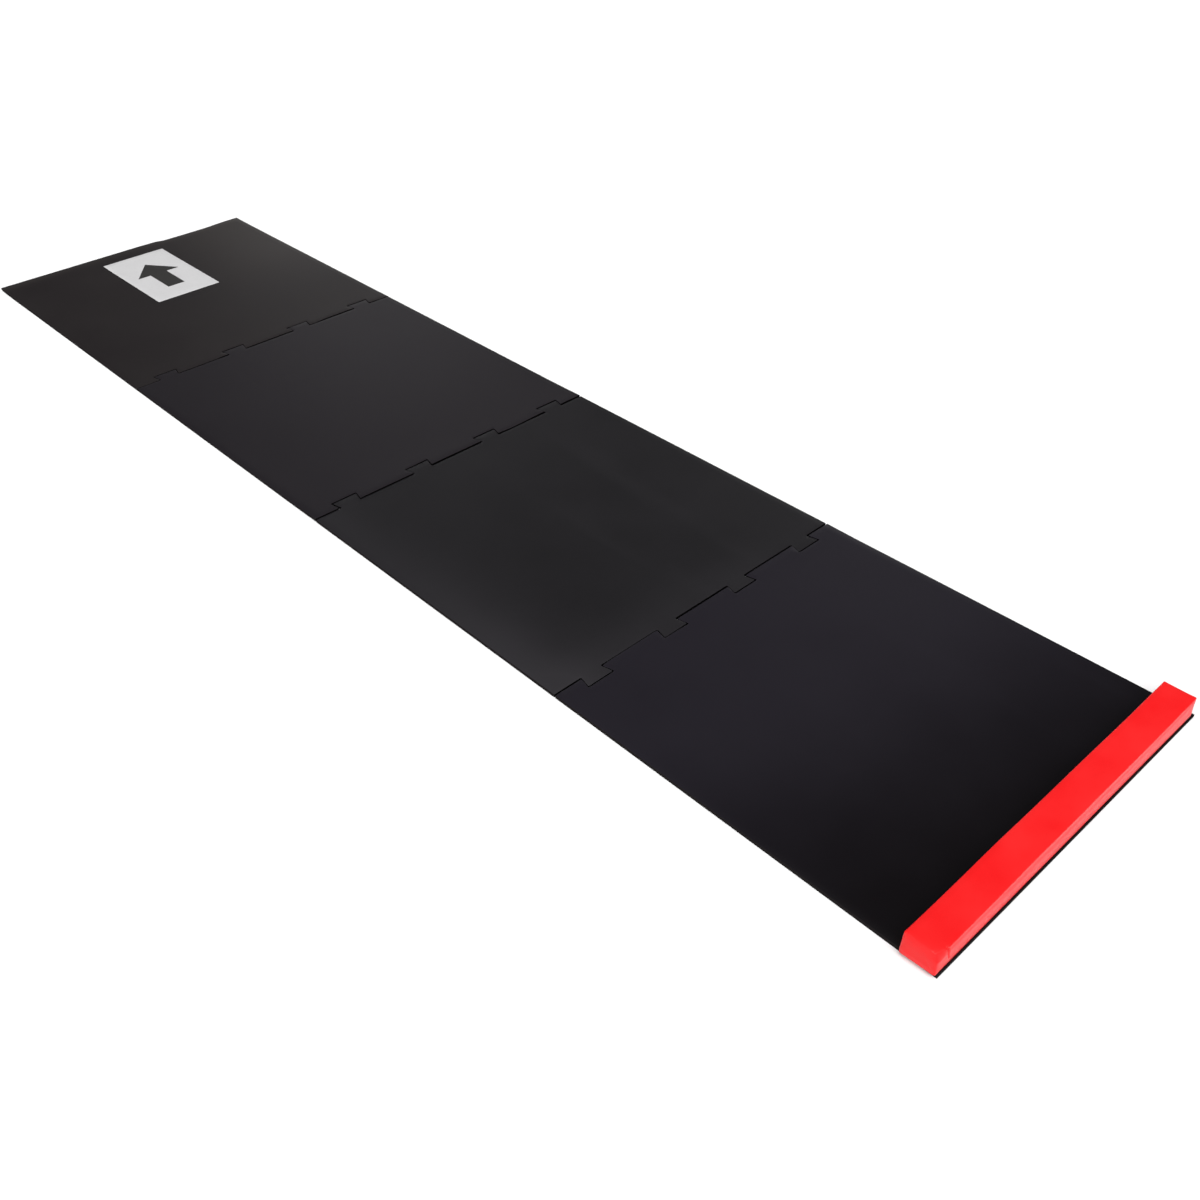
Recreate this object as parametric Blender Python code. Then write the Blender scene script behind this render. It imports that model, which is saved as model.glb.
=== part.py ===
"""A floor lane of four jigsaw tiles, with a label at the far end and a covered foam block at the near end.

The lane lies along Y on the plane z = 0. The origin is on its underside, halfway along and across it.
The near end, at -Y, carries the block; the far end, at +Y, carries the label. Everything is in metres.
"""

import math

import bmesh
import bpy
from mathutils import Vector

# Clearances
SKIN_GAP = 0.0003  # between two pieces that rest on each other
SEAM_GAP = 0.0008  # between a tab and its socket, and along the rest of a seam
STRIP_CLEARANCE = 0.0018  # round a fastener strip, to the cover's hem and the foam's pocket

# The lane: each length is from seam line to seam line, without the tabs that cross it
LANE_WIDTH = 0.600
TILE_THICKNESS = 0.005
FAR_TILE_LENGTH = 0.6445
SECOND_TILE_LENGTH = 0.6275
THIRD_TILE_LENGTH = 0.5950
NEAR_TILE_LENGTH = 0.6330

# The jigsaw tabs, which widen towards their tips
TAB_COUNT = 4
TAB_SIDE_MARGIN = 0.070  # from the lane's side to the middle of the outer tab
TAB_LENGTH = 0.0207
TAB_ROOT_WIDTH = 0.038
TAB_TIP_WIDTH = 0.048
TAB_CORNER_RADIUS = 0.0018
CORNER_STEPS = 3

# The label
LABEL_WIDTH = 0.149
LABEL_LENGTH = 0.267
LABEL_THICKNESS = 0.0004
LABEL_END_MARGIN = 0.048  # from the lane's far end
LABEL_SHIFT = -0.0045  # off the lane's middle line

# The block
BLOCK_LENGTH = 0.598  # across the lane
BLOCK_DEPTH = 0.0485
BLOCK_HEIGHT = 0.0340
BLOCK_SETBACK = 0.0016  # from the lane's near end
BLOCK_SHIFT = -0.0055  # off the lane's middle line: it sits a little to the left
COVER_THICKNESS = 0.0010
COVER_EDGE_RADIUS = 0.0045
COVER_FOOT_RADIUS = 0.0012
EDGE_STEPS = 4
FOOT_STEPS = 2
FLAT = 1e-6  # points this near one level count as lying in it

# The fastener strips, one pair near each end of the block
STRIP_LENGTH = 0.110
STRIP_WIDTH = 0.025
STRIP_THICKNESS = 0.0010
STRIP_END_MARGIN = 0.040  # from the block's end to the strip
SIDES = ((-1, "left"), (1, "right"))

# Looks
TILE_COLOUR = (0.030, 0.029, 0.028)
TILE_ROUGHNESS = 0.55
LABEL_COLOUR = (0.68, 0.68, 0.67)
LABEL_ROUGHNESS = 0.45
COVER_COLOUR = (0.82, 0.030, 0.028)
COVER_ROUGHNESS = 0.30
FOAM_COLOUR = (0.70, 0.66, 0.55)
FOAM_ROUGHNESS = 0.95
STRIP_COLOUR = (0.020, 0.020, 0.022)
STRIP_ROUGHNESS = 0.90

# Levels and places worked out from the sizes above
LANE_LENGTH = FAR_TILE_LENGTH + SECOND_TILE_LENGTH + THIRD_TILE_LENGTH + NEAR_TILE_LENGTH
NEAR_END = -LANE_LENGTH / 2
NEAR_SEAM = NEAR_END + NEAR_TILE_LENGTH
MIDDLE_SEAM = NEAR_SEAM + THIRD_TILE_LENGTH
FAR_SEAM = MIDDLE_SEAM + SECOND_TILE_LENGTH
FAR_END = FAR_SEAM + FAR_TILE_LENGTH

TAB_PITCH = (LANE_WIDTH - 2 * TAB_SIDE_MARGIN) / (TAB_COUNT - 1)

BLOCK_CENTRE = Vector((BLOCK_SHIFT, NEAR_END + BLOCK_SETBACK + BLOCK_DEPTH / 2))
COVER_BOTTOM = TILE_THICKNESS + SKIN_GAP
COVER_TOP = COVER_BOTTOM + BLOCK_HEIGHT
HEM_TOP = COVER_BOTTOM + COVER_THICKNESS
CORE_BOTTOM = HEM_TOP + SKIN_GAP
CORE_TOP = COVER_TOP - COVER_THICKNESS - SKIN_GAP
CORE_INSET = COVER_THICKNESS + SKIN_GAP

HOOK_BOTTOM = TILE_THICKNESS + SKIN_GAP
LOOP_BOTTOM = HOOK_BOTTOM + STRIP_THICKNESS + SKIN_GAP
POCKET_TOP = LOOP_BOTTOM + STRIP_THICKNESS + SKIN_GAP
STRIP_OFFSET = BLOCK_LENGTH / 2 - STRIP_END_MARGIN - STRIP_LENGTH / 2


def clear_scene():
    for obj in list(bpy.data.objects):
        bpy.data.objects.remove(obj, do_unlink=True)


def material(name, colour, roughness):
    made = bpy.data.materials.new(name)
    made.use_nodes = True
    shader = made.node_tree.nodes["Principled BSDF"]
    shader.inputs["Base Color"].default_value = (*colour, 1.0)
    shader.inputs["Roughness"].default_value = roughness
    shader.inputs["Metallic"].default_value = 0.0
    return made


def add_object(name, shape, finish=None):
    """Makes a named object from a bmesh, with its own material, or with none when it is a cutter."""
    mesh = bpy.data.meshes.new(name)
    shape.to_mesh(mesh)
    shape.free()
    obj = bpy.data.objects.new(name, mesh)
    bpy.context.scene.collection.objects.link(obj)
    if finish:
        mesh.materials.append(finish)
    return obj


def cut(obj, cutter):
    """Takes the cutter's shape out of the object, and keeps the cutter as a hidden guide."""
    cutter.hide_render = True
    cutter.display_type = "WIRE"
    boolean = obj.modifiers.new("cut_" + cutter.name, "BOOLEAN")
    boolean.operation = "DIFFERENCE"
    boolean.solver = "EXACT"
    boolean.object = cutter


# Tiles


def arc(centre, start, end):
    """Points from start to end round centre, the short way."""
    radius = (start - centre).length
    first = math.atan2(start.y - centre.y, start.x - centre.x)
    last = math.atan2(end.y - centre.y, end.x - centre.x)
    turn = (last - first + math.pi) % (2 * math.pi) - math.pi
    angles = [first + turn * step / CORNER_STEPS for step in range(CORNER_STEPS + 1)]
    return [centre + radius * Vector((math.cos(a), math.sin(a))) for a in angles]


def filleted(corners, radii):
    """The open path through these corners, with an arc at each corner that has a radius."""
    path = []
    for i, (corner, radius) in enumerate(zip(corners, radii)):
        if radius <= 0:
            path.append(corner)
            continue
        back = (corners[i - 1] - corner).normalized()
        on = (corners[i + 1] - corner).normalized()
        half_angle = back.angle(on) / 2
        centre = corner + (back + on).normalized() * radius / math.sin(half_angle)
        reach = radius / math.tan(half_angle)
        path += arc(centre, corner + back * reach, corner + on * reach)
    return path


def seam_edge(seam_y, direction, gap=0.0):
    """The edge of a tile along a seam, from -X to +X.

    The tabs point along direction, +1 or -1 in Y. With no gap this is the tile that has the tabs. With
    a gap it is the tile with the sockets, which stays that far from the tabs all the way.
    """
    slope = (TAB_TIP_WIDTH - TAB_ROOT_WIDTH) / 2 / TAB_LENGTH
    spread = gap * (slope + math.hypot(1, slope))
    root_half = TAB_ROOT_WIDTH / 2 + spread
    tip_half = TAB_TIP_WIDTH / 2 + spread
    root_y = seam_y + direction * gap
    tip_y = root_y + direction * TAB_LENGTH
    root_radius = TAB_CORNER_RADIUS - gap
    tip_radius = TAB_CORNER_RADIUS + gap
    corners = [Vector((-LANE_WIDTH / 2, root_y))]
    radii = [0]
    for tab in range(TAB_COUNT):
        middle = -LANE_WIDTH / 2 + TAB_SIDE_MARGIN + tab * TAB_PITCH
        corners.append(Vector((middle - root_half, root_y)))
        corners.append(Vector((middle - tip_half, tip_y)))
        corners.append(Vector((middle + tip_half, tip_y)))
        corners.append(Vector((middle + root_half, root_y)))
        radii += [root_radius, tip_radius, tip_radius, root_radius]
    corners.append(Vector((LANE_WIDTH / 2, root_y)))
    radii.append(0)
    return filleted(corners, radii)


def end_edge(y):
    """The straight edge of a tile at an end of the lane, from -X to +X."""
    return [Vector((-LANE_WIDTH / 2, y)), Vector((LANE_WIDTH / 2, y))]


def tile(name, near_edge, far_edge):
    """A flat tile between two edges that both run from -X to +X."""
    outline = near_edge + far_edge[::-1]
    shape = bmesh.new()
    underside = shape.faces.new([shape.verts.new((p.x, p.y, 0)) for p in outline])
    raised = bmesh.ops.extrude_face_region(shape, geom=[underside])["geom"]
    top = [part for part in raised if isinstance(part, bmesh.types.BMVert)]
    bmesh.ops.translate(shape, verts=top, vec=(0, 0, TILE_THICKNESS))
    bmesh.ops.recalc_face_normals(shape, faces=shape.faces)
    return add_object(name, shape, material(name, TILE_COLOUR, TILE_ROUGHNESS))


def build_tiles():
    tile("near_tile", end_edge(NEAR_END), seam_edge(NEAR_SEAM, -1, SEAM_GAP))
    tile("third_tile", seam_edge(NEAR_SEAM, -1), seam_edge(MIDDLE_SEAM, 1))
    tile("second_tile", seam_edge(MIDDLE_SEAM, 1, SEAM_GAP), seam_edge(FAR_SEAM, 1))
    tile("far_tile", seam_edge(FAR_SEAM, 1, SEAM_GAP), end_edge(FAR_END))


# Boxes


def box(low, high):
    """A plain box between two corners."""
    shape = bmesh.new()
    bmesh.ops.create_cube(shape, size=1)
    for vert in shape.verts:
        vert.co = Vector(high[i] if vert.co[i] > 0 else low[i] for i in range(3))
    return shape


def upright_box(centre, size, bottom, top):
    """A plain box round a centre in plan, with a size along X and Y, between two levels."""
    half = Vector(size) / 2
    return box((*(centre - half), bottom), (*(centre + half), top))


def edges_at(shape, level):
    return [edge for edge in shape.edges if all(abs(v.co.z - level) < FLAT for v in edge.verts)]


def soften(shape, edges, radius, steps):
    bmesh.ops.bevel(shape, geom=edges, offset=radius, segments=steps, profile=0.5, affect="EDGES")


def soft_box(centre, size, bottom, top, edge_radius, foot_radius):
    """A box whose top and upright edges are rounded by one radius, and whose foot is rounded by another."""
    shape = upright_box(centre, size, bottom, top)
    foot = edges_at(shape, bottom)
    soften(shape, [edge for edge in shape.edges if edge not in foot], edge_radius, EDGE_STEPS)
    soften(shape, edges_at(shape, bottom), foot_radius, FOOT_STEPS)
    bmesh.ops.recalc_face_normals(shape, faces=shape.faces)
    return shape


# The block


def build_cover():
    """The vinyl cover: a soft box, hollow, with a hem that turns in under the foam round an open window."""
    size = (BLOCK_LENGTH, BLOCK_DEPTH)
    inner = (BLOCK_LENGTH - 2 * COVER_THICKNESS, BLOCK_DEPTH - 2 * COVER_THICKNESS)
    window = (2 * STRIP_OFFSET + STRIP_LENGTH + 2 * STRIP_CLEARANCE, STRIP_WIDTH + 2 * STRIP_CLEARANCE)
    shape = soft_box(BLOCK_CENTRE, size, COVER_BOTTOM, COVER_TOP, COVER_EDGE_RADIUS, COVER_FOOT_RADIUS)
    cover = add_object("block_cover", shape, material("block_cover", COVER_COLOUR, COVER_ROUGHNESS))
    cavity = soft_box(BLOCK_CENTRE, inner, HEM_TOP, COVER_TOP - COVER_THICKNESS,
                      COVER_EDGE_RADIUS - COVER_THICKNESS, COVER_FOOT_RADIUS / 2)
    cut(cover, add_object("cover_cavity", cavity))
    opening = upright_box(BLOCK_CENTRE, window, COVER_BOTTOM - COVER_THICKNESS, HEM_TOP + COVER_THICKNESS)
    cut(cover, add_object("cover_window", opening))


def build_core():
    """The foam bar inside the cover, with a shallow pocket over each fastener strip."""
    size = (BLOCK_LENGTH - 2 * CORE_INSET, BLOCK_DEPTH - 2 * CORE_INSET)
    shape = soft_box(BLOCK_CENTRE, size, CORE_BOTTOM, CORE_TOP,
                     COVER_EDGE_RADIUS - CORE_INSET, COVER_FOOT_RADIUS)
    core = add_object("block_core", shape, material("block_core", FOAM_COLOUR, FOAM_ROUGHNESS))
    pocket = (STRIP_LENGTH + 2 * STRIP_CLEARANCE, STRIP_WIDTH + 2 * STRIP_CLEARANCE)
    for side, word in SIDES:
        centre = BLOCK_CENTRE + Vector((side * STRIP_OFFSET, 0))
        shape = upright_box(centre, pocket, CORE_BOTTOM - STRIP_THICKNESS, POCKET_TOP)
        cut(core, add_object("pocket_" + word, shape))


def build_strips():
    """The two pairs of fastener strips: hooks on the tile, loops in the foam's pockets."""
    size = (STRIP_LENGTH, STRIP_WIDTH)
    for side, word in SIDES:
        centre = BLOCK_CENTRE + Vector((side * STRIP_OFFSET, 0))
        for kind, bottom in (("hook", HOOK_BOTTOM), ("loop", LOOP_BOTTOM)):
            name = kind + "_strip_" + word
            shape = upright_box(centre, size, bottom, bottom + STRIP_THICKNESS)
            add_object(name, shape, material(name, STRIP_COLOUR, STRIP_ROUGHNESS))


def build_label():
    centre = Vector((LABEL_SHIFT, FAR_END - LABEL_END_MARGIN - LABEL_LENGTH / 2))
    bottom = TILE_THICKNESS + SKIN_GAP
    shape = upright_box(centre, (LABEL_WIDTH, LABEL_LENGTH), bottom, bottom + LABEL_THICKNESS)
    add_object("label_panel", shape, material("label_panel", LABEL_COLOUR, LABEL_ROUGHNESS))


clear_scene()
build_tiles()
build_label()
build_core()
build_cover()
build_strips()
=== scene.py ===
# %% [markdown]
# # A floor lane of jigsaw tiles with a covered foam block
#
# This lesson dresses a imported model: four black rubber tiles that lock together with jigsaw
# tabs, a grey label on the far tile, and a red vinyl-covered foam block held across the near
# end by fastener strips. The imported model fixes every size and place. Each cell makes one piece
# or one finish, and prints what it made, so that it can be followed from top to bottom.

# %% Load the frame
import math

import bmesh
import bpy
from mathutils import Matrix, Vector, noise


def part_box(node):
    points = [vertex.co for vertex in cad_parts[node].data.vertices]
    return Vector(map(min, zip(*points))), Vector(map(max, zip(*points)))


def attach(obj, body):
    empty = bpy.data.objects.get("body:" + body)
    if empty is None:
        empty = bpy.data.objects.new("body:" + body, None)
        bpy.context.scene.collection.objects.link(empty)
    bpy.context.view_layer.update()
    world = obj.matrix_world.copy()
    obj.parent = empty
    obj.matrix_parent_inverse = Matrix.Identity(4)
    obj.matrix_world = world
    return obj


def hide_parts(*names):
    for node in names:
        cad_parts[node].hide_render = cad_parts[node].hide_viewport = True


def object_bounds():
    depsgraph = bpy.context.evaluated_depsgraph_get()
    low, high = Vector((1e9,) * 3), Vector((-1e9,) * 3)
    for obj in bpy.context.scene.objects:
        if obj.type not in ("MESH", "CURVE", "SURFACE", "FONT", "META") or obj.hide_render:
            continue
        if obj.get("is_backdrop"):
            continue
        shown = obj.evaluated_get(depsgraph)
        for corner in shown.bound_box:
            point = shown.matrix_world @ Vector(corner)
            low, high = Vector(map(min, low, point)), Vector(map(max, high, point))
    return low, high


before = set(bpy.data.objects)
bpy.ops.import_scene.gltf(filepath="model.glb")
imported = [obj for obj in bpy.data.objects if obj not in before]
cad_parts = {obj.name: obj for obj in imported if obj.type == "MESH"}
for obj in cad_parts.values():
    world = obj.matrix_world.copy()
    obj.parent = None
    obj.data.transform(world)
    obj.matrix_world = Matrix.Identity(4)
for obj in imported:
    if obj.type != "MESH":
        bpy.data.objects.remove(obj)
CAD_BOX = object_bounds()
print("packed size in mm:", [round(1000 * v) for v in CAD_BOX[1] - CAD_BOX[0]])

# %% [markdown]
# ## Sizes
#
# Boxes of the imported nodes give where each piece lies. A few sizes that a box can't give, such
# as how much a jigsaw tab widens, are named here in metres.

# %% Sizes from the frame
SKIN_GAP = 0.0003
SEAM_GAP = 0.0008

NEAR_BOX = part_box("near_tile")
THIRD_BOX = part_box("third_tile")
SECOND_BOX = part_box("second_tile")
FAR_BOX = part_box("far_tile")
LABEL_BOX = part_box("label_panel")
COVER_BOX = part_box("block_cover")
CORE_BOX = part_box("block_core")

SIDE = FAR_BOX[1].x
TILE_TOP = FAR_BOX[1].z
NEAR_END, FAR_END = NEAR_BOX[0].y, FAR_BOX[1].y
NEAR_SEAM = NEAR_BOX[1].y + SEAM_GAP
MIDDLE_SEAM = SECOND_BOX[0].y - SEAM_GAP
FAR_SEAM = FAR_BOX[0].y - SEAM_GAP
TAB_LENGTH = THIRD_BOX[1].y - MIDDLE_SEAM

TAB_ROOT = 0.038
TAB_TIP = 0.048
TAB_SIDE_MARGIN = 0.070
TAB_COUNT = 4
TAB_PITCH = 2 * (SIDE - TAB_SIDE_MARGIN) / (TAB_COUNT - 1)
TAB_MIDDLES = [-SIDE + TAB_SIDE_MARGIN + i * TAB_PITCH for i in range(TAB_COUNT)]
print("tab length in mm:", round(1000 * TAB_LENGTH, 1), "pitch in mm:", round(1000 * TAB_PITCH, 1))

# %% [markdown]
# ## Camera
#
# The camera comes first, so that every later step can be looked at from the same place. It
# stands to the left of the near end, a little over a metre up, and looks down along the lane.
# Its heading is measured from +X towards +Y, its tilt is below the horizon, and a small roll
# levels the picture.

# %% Camera
EYE = Vector((-1.1256, -1.5986, 1.1838))
HEADING, TILT, ROLL = math.radians(47.01), math.radians(38.30), math.radians(-0.672)
LENS_MM = 37.44

turn = (Matrix.Rotation(HEADING - math.pi / 2, 4, "Z")
        @ Matrix.Rotation(math.pi / 2 - TILT, 4, "X")
        @ Matrix.Rotation(ROLL, 4, "Z"))
bpy.ops.object.camera_add(location=EYE, rotation=turn.to_euler())
camera = bpy.context.object
camera.name = "camera"
camera.data.lens = LENS_MM
camera.data.sensor_width = 36
camera.data.clip_end = 60
bpy.context.scene.camera = camera
print("camera height in m:", round(camera.location.z, 2))

# %% [markdown]
# ## Floor and light
#
# The lane lies on a plain pale studio floor. A wide sun stands in for a big soft light behind
# the camera: it lights the whole floor alike, and its shadows are soft. The rest of the room
# stays dark, because black rubber shows whatever it mirrors: the pale backdrop can be seen, but
# lights nothing and isn't mirrored. Soft panels, low beyond the far end and beside the lane,
# give the satin sheen that fades along the lane towards the camera.

# %% Floor
FLOOR_SIZE = 40
FLOOR_DROP = 0.0002
FLOOR_SHADE = 0.90

bpy.ops.object.select_all(action="DESELECT")
bpy.ops.mesh.primitive_plane_add(size=FLOOR_SIZE, location=(0, 0, -FLOOR_DROP))
floor = bpy.context.object
floor.name = "studio_floor"
floor_finish = bpy.data.materials.new("studio_floor")
floor_finish.use_nodes = True
floor_shader = floor_finish.node_tree.nodes["Principled BSDF"]
floor_shader.inputs["Base Color"].default_value = (FLOOR_SHADE, FLOOR_SHADE, FLOOR_SHADE, 1)
floor_shader.inputs["Roughness"].default_value = 0.9
floor_shader.inputs["Specular IOR Level"].default_value = 0.1
floor.data.materials.append(floor_finish)
floor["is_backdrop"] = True
print("floor is", FLOOR_SIZE, "m wide, and lies", 1000 * FLOOR_DROP, "mm under the lane")

# %% [markdown]
# The backdrop is a wide open tube round the floor. It glows evenly, and its ray visibility is
# switched off for everything but the camera, so that it changes no light and no reflection.

# %% Backdrop
BACKDROP_RADIUS, BACKDROP_HEIGHT = 18.0, 30.0
BACKDROP_GLOW = 0.93

bpy.ops.object.select_all(action="DESELECT")
bpy.ops.mesh.primitive_cylinder_add(vertices=128, radius=BACKDROP_RADIUS, depth=BACKDROP_HEIGHT,
                                    end_fill_type="NOTHING", location=(0, 0, 0))
backdrop = bpy.context.object
backdrop.name = "studio_backdrop"
backdrop_finish = bpy.data.materials.new("studio_backdrop")
backdrop_finish.use_nodes = True
backdrop_shader = backdrop_finish.node_tree.nodes["Principled BSDF"]
backdrop_shader.inputs["Base Color"].default_value = (0, 0, 0, 1)
backdrop_shader.inputs["Specular IOR Level"].default_value = 0.0
backdrop_shader.inputs["Emission Color"].default_value = (1, 1, 1, 1)
backdrop_shader.inputs["Emission Strength"].default_value = BACKDROP_GLOW
backdrop.data.materials.append(backdrop_finish)
for ray in ("diffuse", "glossy", "transmission", "shadow"):
    setattr(backdrop, "visible_" + ray, False)
backdrop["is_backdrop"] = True
print("backdrop at", BACKDROP_RADIUS, "m")

# %% [markdown]
# Lights are aimed by a heading and a height, as on a map. A light shines along its own -Z, so
# its -Z is turned against the direction that it stands in.

# %% Lights


def towards(heading, height):
    """The direction at a heading from +X and a height above the horizon, both in degrees."""
    heading, height = math.radians(heading), math.radians(height)
    flat = math.cos(height)
    return Vector((flat * math.cos(heading), flat * math.sin(heading), math.sin(height)))


def aimed(light, direction):
    light.rotation_mode = "QUATERNION"
    light.rotation_quaternion = (-direction).to_track_quat("-Z", "Y")


SUN_POWER, SUN_WIDTH = 4.25, 70
SUN_HEADING, SUN_HEIGHT = 228, 58
SKY_LIGHT = 0.06
PANEL_DISTANCE, PANEL_SIZE = 5.0, 1.6
PANEL_MIDDLE = Vector((0, 0.4, 0))
PANELS = {"sheen_right": (20, 12, 11.0), "sheen_end": (56, 13, 8.8), "sheen_left": (90, 14, 1.0)}

sky = bpy.data.worlds.new("studio_sky")
sky.use_nodes = True
sky.node_tree.nodes["Background"].inputs["Color"].default_value = (1.0, 1.0, 1.0, 1)
sky.node_tree.nodes["Background"].inputs["Strength"].default_value = SKY_LIGHT
bpy.context.scene.world = sky
bpy.context.scene.view_settings.view_transform = "Standard"

bpy.ops.object.light_add(type="SUN", location=(-2, -3, 4))
sun = bpy.context.object
sun.name = "studio_light"
sun.data.energy = SUN_POWER
sun.data.angle = math.radians(SUN_WIDTH)
aimed(sun, towards(SUN_HEADING, SUN_HEIGHT))

for name, (heading, height, power) in PANELS.items():
    direction = towards(heading, height)
    bpy.ops.object.light_add(type="AREA", location=PANEL_MIDDLE + PANEL_DISTANCE * direction)
    panel = bpy.context.object
    panel.name = name
    panel.data.shape = "SQUARE"
    panel.data.size = PANEL_SIZE
    panel.data.energy = power
    panel.visible_camera = False
    aimed(panel, direction)

# %% [markdown]
# ## Shader maths as Python
#
# A pattern is a formula. Wrapping a node's output in a small class lets the formula be written
# as one: adding, subtracting and multiplying wrapped sockets makes the Math nodes.

# %% A socket that does maths


class Value:
    """An output socket that Python's operators can work on."""

    def __init__(self, tree, socket):
        self.tree = tree
        self.socket = socket

    def maths(self, operation, first, second):
        node = self.tree.nodes.new("ShaderNodeMath")
        node.operation = operation
        for place, term in enumerate((first, second)):
            if isinstance(term, Value):
                self.tree.links.new(term.socket, node.inputs[place])
            elif term is not None:
                node.inputs[place].default_value = term
        return Value(self.tree, node.outputs[0])

    def __add__(self, other):
        return self.maths("ADD", self, other)

    def __sub__(self, other):
        return self.maths("SUBTRACT", self, other)

    def __rsub__(self, other):
        return self.maths("SUBTRACT", other, self)

    def __mul__(self, other):
        return self.maths("MULTIPLY", self, other)

    __radd__ = __add__
    __rmul__ = __mul__

    def clamped(self):
        return self.maths("MAXIMUM", self.maths("MINIMUM", self, 1.0), 0.0)


# %% [markdown]
# A finish is a material with its Principled shader. Every node but the Math nodes comes from
# one method, which takes the node's type, its settings and its inputs. Colours are blended by a
# Mix node, because a Math node would turn them grey.

# %% A material under construction
MIX_FACTOR, MIX_FIRST, MIX_SECOND, MIX_COLOUR_OUT = 0, 6, 7, 2


class Finish:
    """A material under construction, with its Principled shader."""

    def __init__(self, name, **constants):
        self.material = bpy.data.materials.new(name)
        self.material.use_nodes = True
        self.tree = self.material.node_tree
        self.shader = self.tree.nodes["Principled BSDF"]
        for socket, number in constants.items():
            self.shader.inputs[socket.replace("_", " ")].default_value = number

    def node(self, kind, settings, inputs, output=0):
        """Makes a node: its settings first, then its inputs, and returns one of its outputs."""
        made = self.tree.nodes.new(kind)
        for name, setting in settings.items():
            if name == "stops":
                self.set_stops(made.color_ramp, setting)
            else:
                setattr(made, name, setting)
        for name, term in inputs.items():
            if isinstance(term, Value):
                self.tree.links.new(term.socket, made.inputs[name])
            else:
                made.inputs[name].default_value = term
        return Value(self.tree, made.outputs[output])

    def set_stops(self, ramp, stops):
        while len(ramp.elements) < len(stops):
            ramp.elements.new(1.0)
        for element, (place, level) in zip(ramp.elements, stops):
            element.position = place
            element.color = (level, level, level, 1)

    def place(self):
        return self.node("ShaderNodeTexCoord", {}, {}, "Object")

    def stretched(self, scale):
        return self.node("ShaderNodeMapping", {}, {"Vector": self.place(), "Scale": scale})

    def cloud(self, scale, detail=2.0, vector=None):
        inputs = {"Vector": vector or self.place(), "Scale": scale, "Detail": detail}
        return self.node("ShaderNodeTexNoise", {}, inputs)

    def painted(self, name):
        return self.node("ShaderNodeAttribute", {"attribute_name": name}, {}, "Fac")

    def ramp(self, value, stops):
        return self.node("ShaderNodeValToRGB", {"stops": stops}, {"Fac": value})

    def blend(self, share, first, second):
        """A colour between two, each a colour or a Value."""
        inputs = {MIX_FACTOR: share, MIX_FIRST: first, MIX_SECOND: second}
        return self.node("ShaderNodeMix", {"data_type": "RGBA"}, inputs, MIX_COLOUR_OUT)

    def drive(self, socket, value):
        self.tree.links.new(value.socket, self.shader.inputs[socket])

    def bump(self, height, distance, strength=1.0):
        inputs = {"Height": height, "Distance": distance, "Strength": strength}
        self.drive("Normal", self.node("ShaderNodeBump", {}, inputs))


def rgb(red, green, blue):
    return (red, green, blue, 1.0)


# %% [markdown]
# ## Black rubber
#
# The tiles are calendered rubber: a very dark, satin skin with a fine pebble that only shows
# close up. Real tiles are never one flat black. Each comes from another part of the roll, so
# each has its own faint tint, and dust makes it greyer where it has been handled. A number from
# 0 to 1, painted on the mesh further down, sets how far each place goes from the darkest colour
# towards the lightest. It holds the dust and also painted sheen and shade. Clouds break it up here.

# %% Rubber finish
PLAIN_ROUGHNESS = 0.46


def rubber(name, darkest, lightest, gloss=0.0, specular=0.34):
    """Satin black rubber, from its darkest colour to its lightest one. The painted number that picks
    between them holds dust and also painted sheen and shade. Gloss lowers its roughness.
    """
    finish = Finish(name, Specular_IOR_Level=specular)
    clouds = finish.cloud(6.0, 4.0)
    streaks = finish.cloud(9.0, 4.0, finish.stretched((1.0, 0.12, 1.0)))
    pebble = finish.node("ShaderNodeTexVoronoi", {"feature": "SMOOTH_F1"},
                         {"Vector": finish.place(), "Scale": 1100.0, "Smoothness": 0.6}, "Distance")
    grain = finish.cloud(420.0, 3.0)
    scuffs = finish.ramp(streaks, [(0.60, 0.0), (0.78, 1.0)])
    # The painted number read here holds dust and also painted sheen and shade.
    dust = finish.painted("dust")
    mottled = (dust + 0.30 * (clouds - 0.5) + 0.12 * scuffs + 0.10 * (grain - 0.5)).clamped()
    finish.drive("Base Color", finish.blend(mottled, rgb(*darkest), rgb(*lightest)))
    worn = 0.08 * clouds + 0.05 * scuffs + 0.03 * grain
    finish.drive("Roughness", (PLAIN_ROUGHNESS - gloss + worn).clamped())
    finish.bump(pebble * 0.6 + grain * 0.4, 0.00012, 0.35)
    return finish.material


RUBBER = {
    "far": rubber("far_rubber", (0.0076, 0.0054, 0.0062), (0.0300, 0.0255, 0.0240)),
    "second": rubber("second_rubber", (0.0062, 0.0044, 0.0069), (0.0160, 0.0135, 0.0160)),
    "third": rubber("third_rubber", (0.0046, 0.0039, 0.0052), (0.0210, 0.0192, 0.0222)),
    "near": rubber("near_rubber", (0.0014, 0.0005, 0.0014), (0.0118, 0.0100, 0.0146), 0.09, 0.25),
}
print("rubber finishes:", sorted(RUBBER))

# %% [markdown]
# The walls of a tile have finishes of their own. Where the sheet was cut, along the rim, the
# rubber is rough and a little browner. Inside the seams the same cut rubber is given a near-black
# colour and almost no shine: painted shade, for the shadow in the narrow gaps.

# %% Cut rubber


def cut_rubber(name, specular, dark, pale):
    """The matt wall that a knife or a die leaves, between a dark and a pale colour."""
    finish = Finish(name, Specular_IOR_Level=specular)
    crumbs = finish.cloud(900.0, 3.0)
    finish.drive("Base Color", finish.blend(crumbs, rgb(*dark), rgb(*pale)))
    finish.drive("Roughness", 0.80 + 0.15 * crumbs)
    finish.bump(crumbs, 0.0003, 0.5)
    return finish.material


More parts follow.
